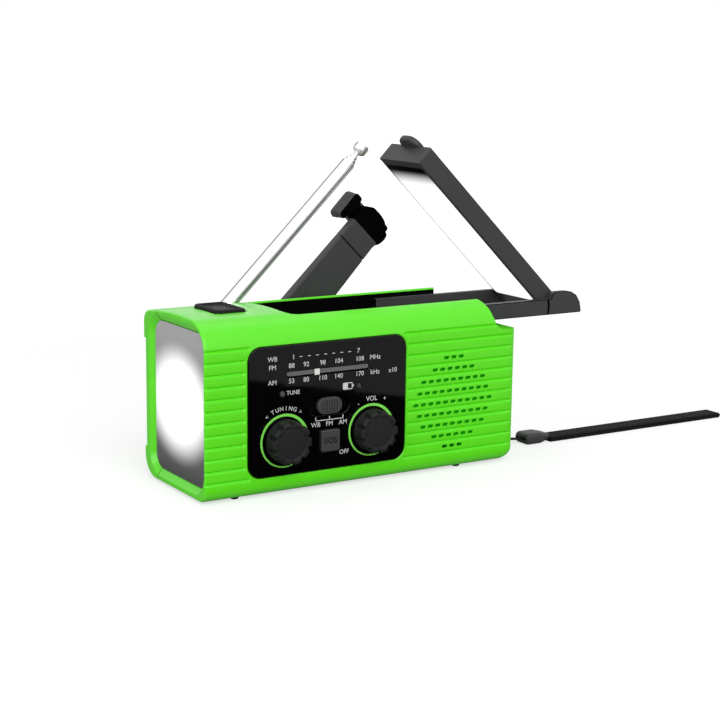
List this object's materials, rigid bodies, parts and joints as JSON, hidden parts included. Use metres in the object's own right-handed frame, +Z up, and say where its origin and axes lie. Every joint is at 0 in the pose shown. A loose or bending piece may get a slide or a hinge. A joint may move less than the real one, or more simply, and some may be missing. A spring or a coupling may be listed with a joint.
{
  "type": "emergency radio",
  "caption": "Portable radio with hand crank, slide-out solar reading lamp, end torch, telescopic antenna, tuning dial and wrist strap.",
  "frame": {"origin": "on the table under the middle of the object's box as it stands deployed, strap left out", "axes": "+X to the right along the housing, +Y to the back, +Z up; the dial faces -Y"},
  "size_m": [0.3098, 0.0882, 0.1499],
  "materials": {
    "green plastic": "satin",
    "black plastic": "fine texture",
    "gloss black": "gloss",
    "grey plastic": "satin",
    "white plastic": "satin",
    "rubber": "matte",
    "steel": "plain",
    "chrome": "polished",
    "brass": "plain",
    "copper": "wound wire",
    "clear plastic": "clear",
    "circuit board": "solder mask",
    "solar glass": "gloss",
    "ferrite": "matt",
    "webbing": "woven",
    "battery wrap": "shrink wrap"
  },
  "bodies": {
    "housing": {"antenna_screw": "steel", "band_switch_base": "steel", "battery_cell": "battery wrap", "battery_door": "green plastic", "charge_indicator": "white plastic", "charging_socket": "steel", "control_panel": "gloss black", "dynamo_motor": "steel", "ferrite_coil": "copper", "ferrite_rod": "ferrite", "foot_front_left": "rubber", "foot_front_right": "rubber", "foot_rear_left": "rubber", "foot_rear_right": "rubber", "front_shell": "green plastic", "gear_plate": "steel", "housing_screw_1": "steel", "housing_screw_2": "steel", "housing_screw_3": "steel", "housing_screw_4": "steel", "main_board": "circuit board", "rear_shell": "green plastic", "speaker_cone": "black plastic", "speaker_frame": "steel", "strap_clamp": "black plastic", "strap_cord": "webbing", "strap_webbing": "webbing", "torch_led_board": "white plastic", "torch_lens": "clear plastic", "torch_reflector": "chrome", "tuning_capacitor": "white plastic", "tuning_indicator": "white plastic", "usb_output_socket": "steel", "volume_potentiometer": "steel"},
    "tray": {"lamp_tray": "black plastic", "lamp_hinge_pin": "steel"},
    "lamp": {"lamp_arm": "black plastic", "lamp_lens": "clear plastic", "lamp_led_board": "white plastic", "solar_panel": "solar glass"},
    "antenna": {"antenna_tube": "chrome"},
    "antenna_2": {"antenna_section_2": "chrome"},
    "antenna_3": {"antenna_section_3": "chrome"},
    "antenna_4": {"antenna_tip": "chrome"},
    "crank": {"crank_arm": "black plastic", "crank_shaft": "steel", "crank_gear": "white plastic", "crank_screw": "steel", "grip_pin": "steel"},
    "idler": {"idler_gear": "white plastic"},
    "rotor": {"dynamo_pinion": "brass"},
    "grip": {"crank_grip": "black plastic"},
    "tuning": {"tuning_knob": "grey plastic"},
    "capacitor": {"capacitor_gear": "white plastic"},
    "pointer": {"dial_pointer": "white plastic"},
    "volume": {"volume_knob": "grey plastic"},
    "band": {"band_slider": "grey plastic"},
    "sos": {"sos_button": "grey plastic"},
    "torch_switch": {"torch_button": "black plastic"}
  },
  "joints": [
    {"name": "lamp_slide", "type": "slide", "parent": "housing", "child": "tray", "axis": [1, 0, 0], "range_m": [-0.0347, 0]},
    {"name": "lamp_tilt", "type": "hinge", "parent": "tray", "child": "lamp", "pos_m": [0.0845, -0.0064, 0.0695], "axis": [0, 1, 0], "range_deg": [-44.3, 65]},
    {"name": "antenna_tilt", "type": "hinge", "parent": "housing", "child": "antenna", "pos_m": [-0.0661, 0.0198, 0.071], "axis": [0, 1, 0], "range_deg": [-60, 44.5]},
    {"name": "antenna_slide_2", "type": "slide", "parent": "antenna", "child": "antenna_2", "axis": [0.7133, 0, 0.7009], "range_m": [0, 0.08]},
    {"name": "antenna_slide_3", "type": "slide", "parent": "antenna_2", "child": "antenna_3", "axis": [0.7133, 0, 0.7009], "range_m": [0, 0.08]},
    {"name": "antenna_slide_4", "type": "slide", "parent": "antenna_3", "child": "antenna_4", "axis": [0.7133, 0, 0.7009], "range_m": [0, 0.078]},
    {"name": "crank_turn", "type": "hinge", "parent": "housing", "child": "crank", "pos_m": [-0.0515, 0.0246, 0.038], "axis": [0, 1, 0], "continuous": true},
    {"name": "idler_turn", "type": "hinge", "parent": "housing", "child": "idler", "pos_m": [-0.0265, 0.0078, 0.038], "axis": [0, 1, 0], "continuous": true},
    {"name": "rotor_turn", "type": "hinge", "parent": "housing", "child": "rotor", "pos_m": [-0.0265, 0.0078, 0.014], "axis": [0, 1, 0], "continuous": true},
    {"name": "grip_fold", "type": "hinge", "parent": "crank", "child": "grip", "pos_m": [0.01614, 0.0316, 0.10683], "axis": [-0.7133, 0, 0.7009], "range_deg": [0, 90]},
    {"name": "tuning_turn", "type": "hinge", "parent": "housing", "child": "tuning", "pos_m": [-0.0647, -0.0364, 0.0243], "axis": [0, 1, 0], "range_deg": [-119, 218]},
    {"name": "capacitor_turn", "type": "hinge", "parent": "housing", "child": "capacitor", "pos_m": [-0.0497, -0.0194, 0.0243], "axis": [0, 1, 0], "range_deg": [-145.4, 79.4]},
    {"name": "pointer_travel", "type": "slide", "parent": "housing", "child": "pointer", "axis": [1, 0, 0], "range_m": [-0.01247, 0.02283]},
    {"name": "volume_turn", "type": "hinge", "parent": "housing", "child": "volume", "pos_m": [-0.0215, -0.0364, 0.0243], "axis": [0, 1, 0], "range_deg": [-150, 150]},
    {"name": "band_select", "type": "slide", "parent": "housing", "child": "band", "axis": [1, 0, 0], "range_m": [-0.0036, 0.0036]},
    {"name": "sos_press", "type": "slide", "parent": "housing", "child": "sos", "axis": [0, 1, 0], "range_m": [0, 0.001], "stiffness_N_per_m": 800, "springref_m": -0.0003},
    {"name": "torch_press", "type": "slide", "parent": "housing", "child": "torch_switch", "axis": [0, 0, -1], "range_m": [0, 0.0012], "stiffness_N_per_m": 800, "springref_m": -0.0003}
  ],
  "couplings": [
    {"joint": "idler_turn", "follows": "crank_turn", "ratio": -4},
    {"joint": "rotor_turn", "follows": "crank_turn", "ratio": 12},
    {"joint": "capacitor_turn", "follows": "tuning_turn", "ratio": -0.66667},
    {"joint": "pointer_travel", "follows": "tuning_turn", "m_per_rad": 0.006}
  ]
}
